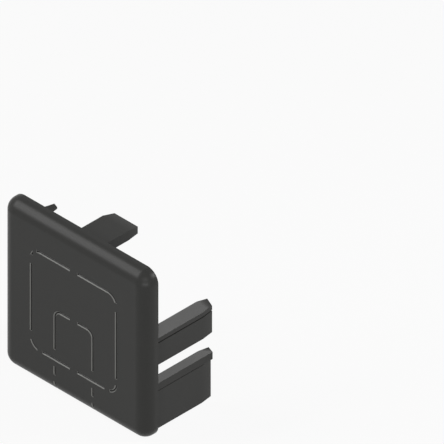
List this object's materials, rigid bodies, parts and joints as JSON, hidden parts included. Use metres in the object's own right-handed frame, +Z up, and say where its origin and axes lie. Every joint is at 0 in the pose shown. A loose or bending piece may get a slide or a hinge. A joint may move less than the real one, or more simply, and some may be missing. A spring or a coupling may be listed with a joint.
{
  "type": "cable duct end cap",
  "caption": "Square moulded end cap that plugs into the end of a cable duct, with a rounded face, scored knock-out outlines and tapered prongs behind.",
  "frame": {"origin": "centre of the plate in the plane of its rear rim, where the duct's end meets it", "axes": "+Y along the duct, the way the prongs point; +Z up; the face looks along -Y and the part stands on the plate's lower edge"},
  "size_m": [0.04, 0.0211, 0.04],
  "materials": {
    "cap_plastic": "satin, anthracite"
  },
  "bodies": {
    "root": {"end_cap": "cap_plastic"}
  },
  "joints": []
}
